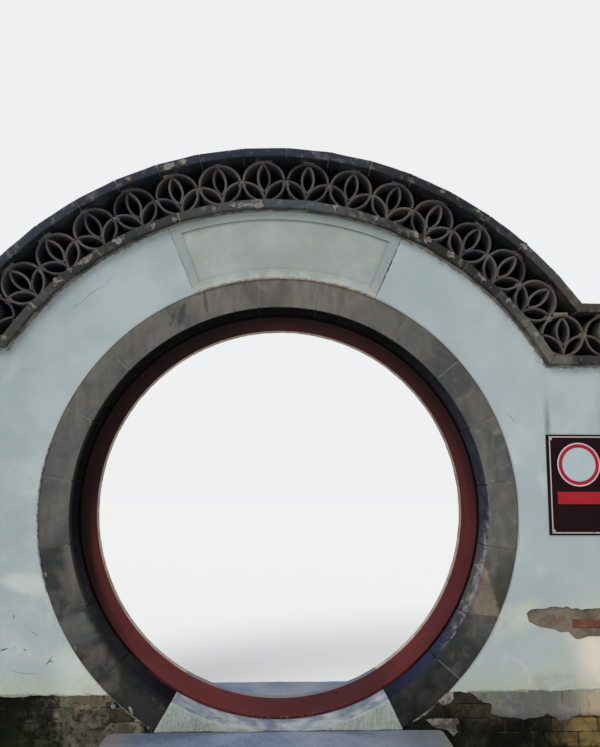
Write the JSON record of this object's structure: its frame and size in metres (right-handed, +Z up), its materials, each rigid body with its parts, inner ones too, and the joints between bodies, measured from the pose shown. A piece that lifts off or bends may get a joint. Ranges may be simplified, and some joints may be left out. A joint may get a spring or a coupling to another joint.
{
  "type": "moon gate",
  "caption": "Round garden doorway through a thick plastered wall, ringed with stone, with an arched brick coping over it that carries an openwork band of roof tiles.",
  "frame": {"origin": "on the ground, halfway through the wall, under the middle of the doorway", "axes": "+X along the wall to the right as seen from the front, +Y through the wall from front to back, +Z up"},
  "size_m": [4.75, 1.19, 3.5407],
  "materials": {
    "plaster": "matte lime plaster, stained and hair-cracked",
    "plinth_brick": "rough dark brick, mossy",
    "ring_stone": "rubbed grey brick stone, weathered",
    "granite": "tooled granite",
    "coping_brick": "rough dark grey brick",
    "roof_tile": "unglazed fired clay",
    "red_paint": "matte painted plaster, chipped",
    "plaque_cement": "smooth cement",
    "mortar": "rough mortar",
    "red_brick": "broken red brick"
  },
  "bodies": {
    "root": {"wall_left_upper": "plaster", "wall_right_upper": "plaster", "wall_left_lower": "plaster", "wall_right_lower": "plaster", "arch_wall_left": "plaster", "arch_wall_right": "plaster", "arch_wall_top": "plaster", "plinth_left": "plinth_brick", "plinth_right": "plinth_brick", "footing_course": "plinth_brick", "front_ring_left": "ring_stone", "front_ring_right": "ring_stone", "front_ring_top": "ring_stone", "rear_ring_left": "ring_stone", "rear_ring_right": "ring_stone", "rear_ring_top": "ring_stone", "front_sill": "granite", "rear_sill": "granite", "sill_bed": "granite", "front_step": "granite", "rear_step": "granite", "lower_coping_arch": "coping_brick", "lower_coping_left": "coping_brick", "lower_coping_right": "coping_brick", "upper_coping_arch": "coping_brick", "upper_coping_left": "coping_brick", "upper_coping_right": "coping_brick", "tile_lattice_left": "roof_tile", "tile_lattice_right": "roof_tile", "tile_lattice_arch_1": "roof_tile", "tile_lattice_arch_2": "roof_tile", "tile_lattice_arch_3": "roof_tile", "tile_lattice_arch_4": "roof_tile", "red_lining": "red_paint", "plaque": "plaque_cement", "coping_bed_arch": "mortar", "coping_bed_left": "mortar", "coping_bed_right": "mortar", "patch_mortar": "mortar", "patch_brick": "red_brick"}
  },
  "joints": []
}
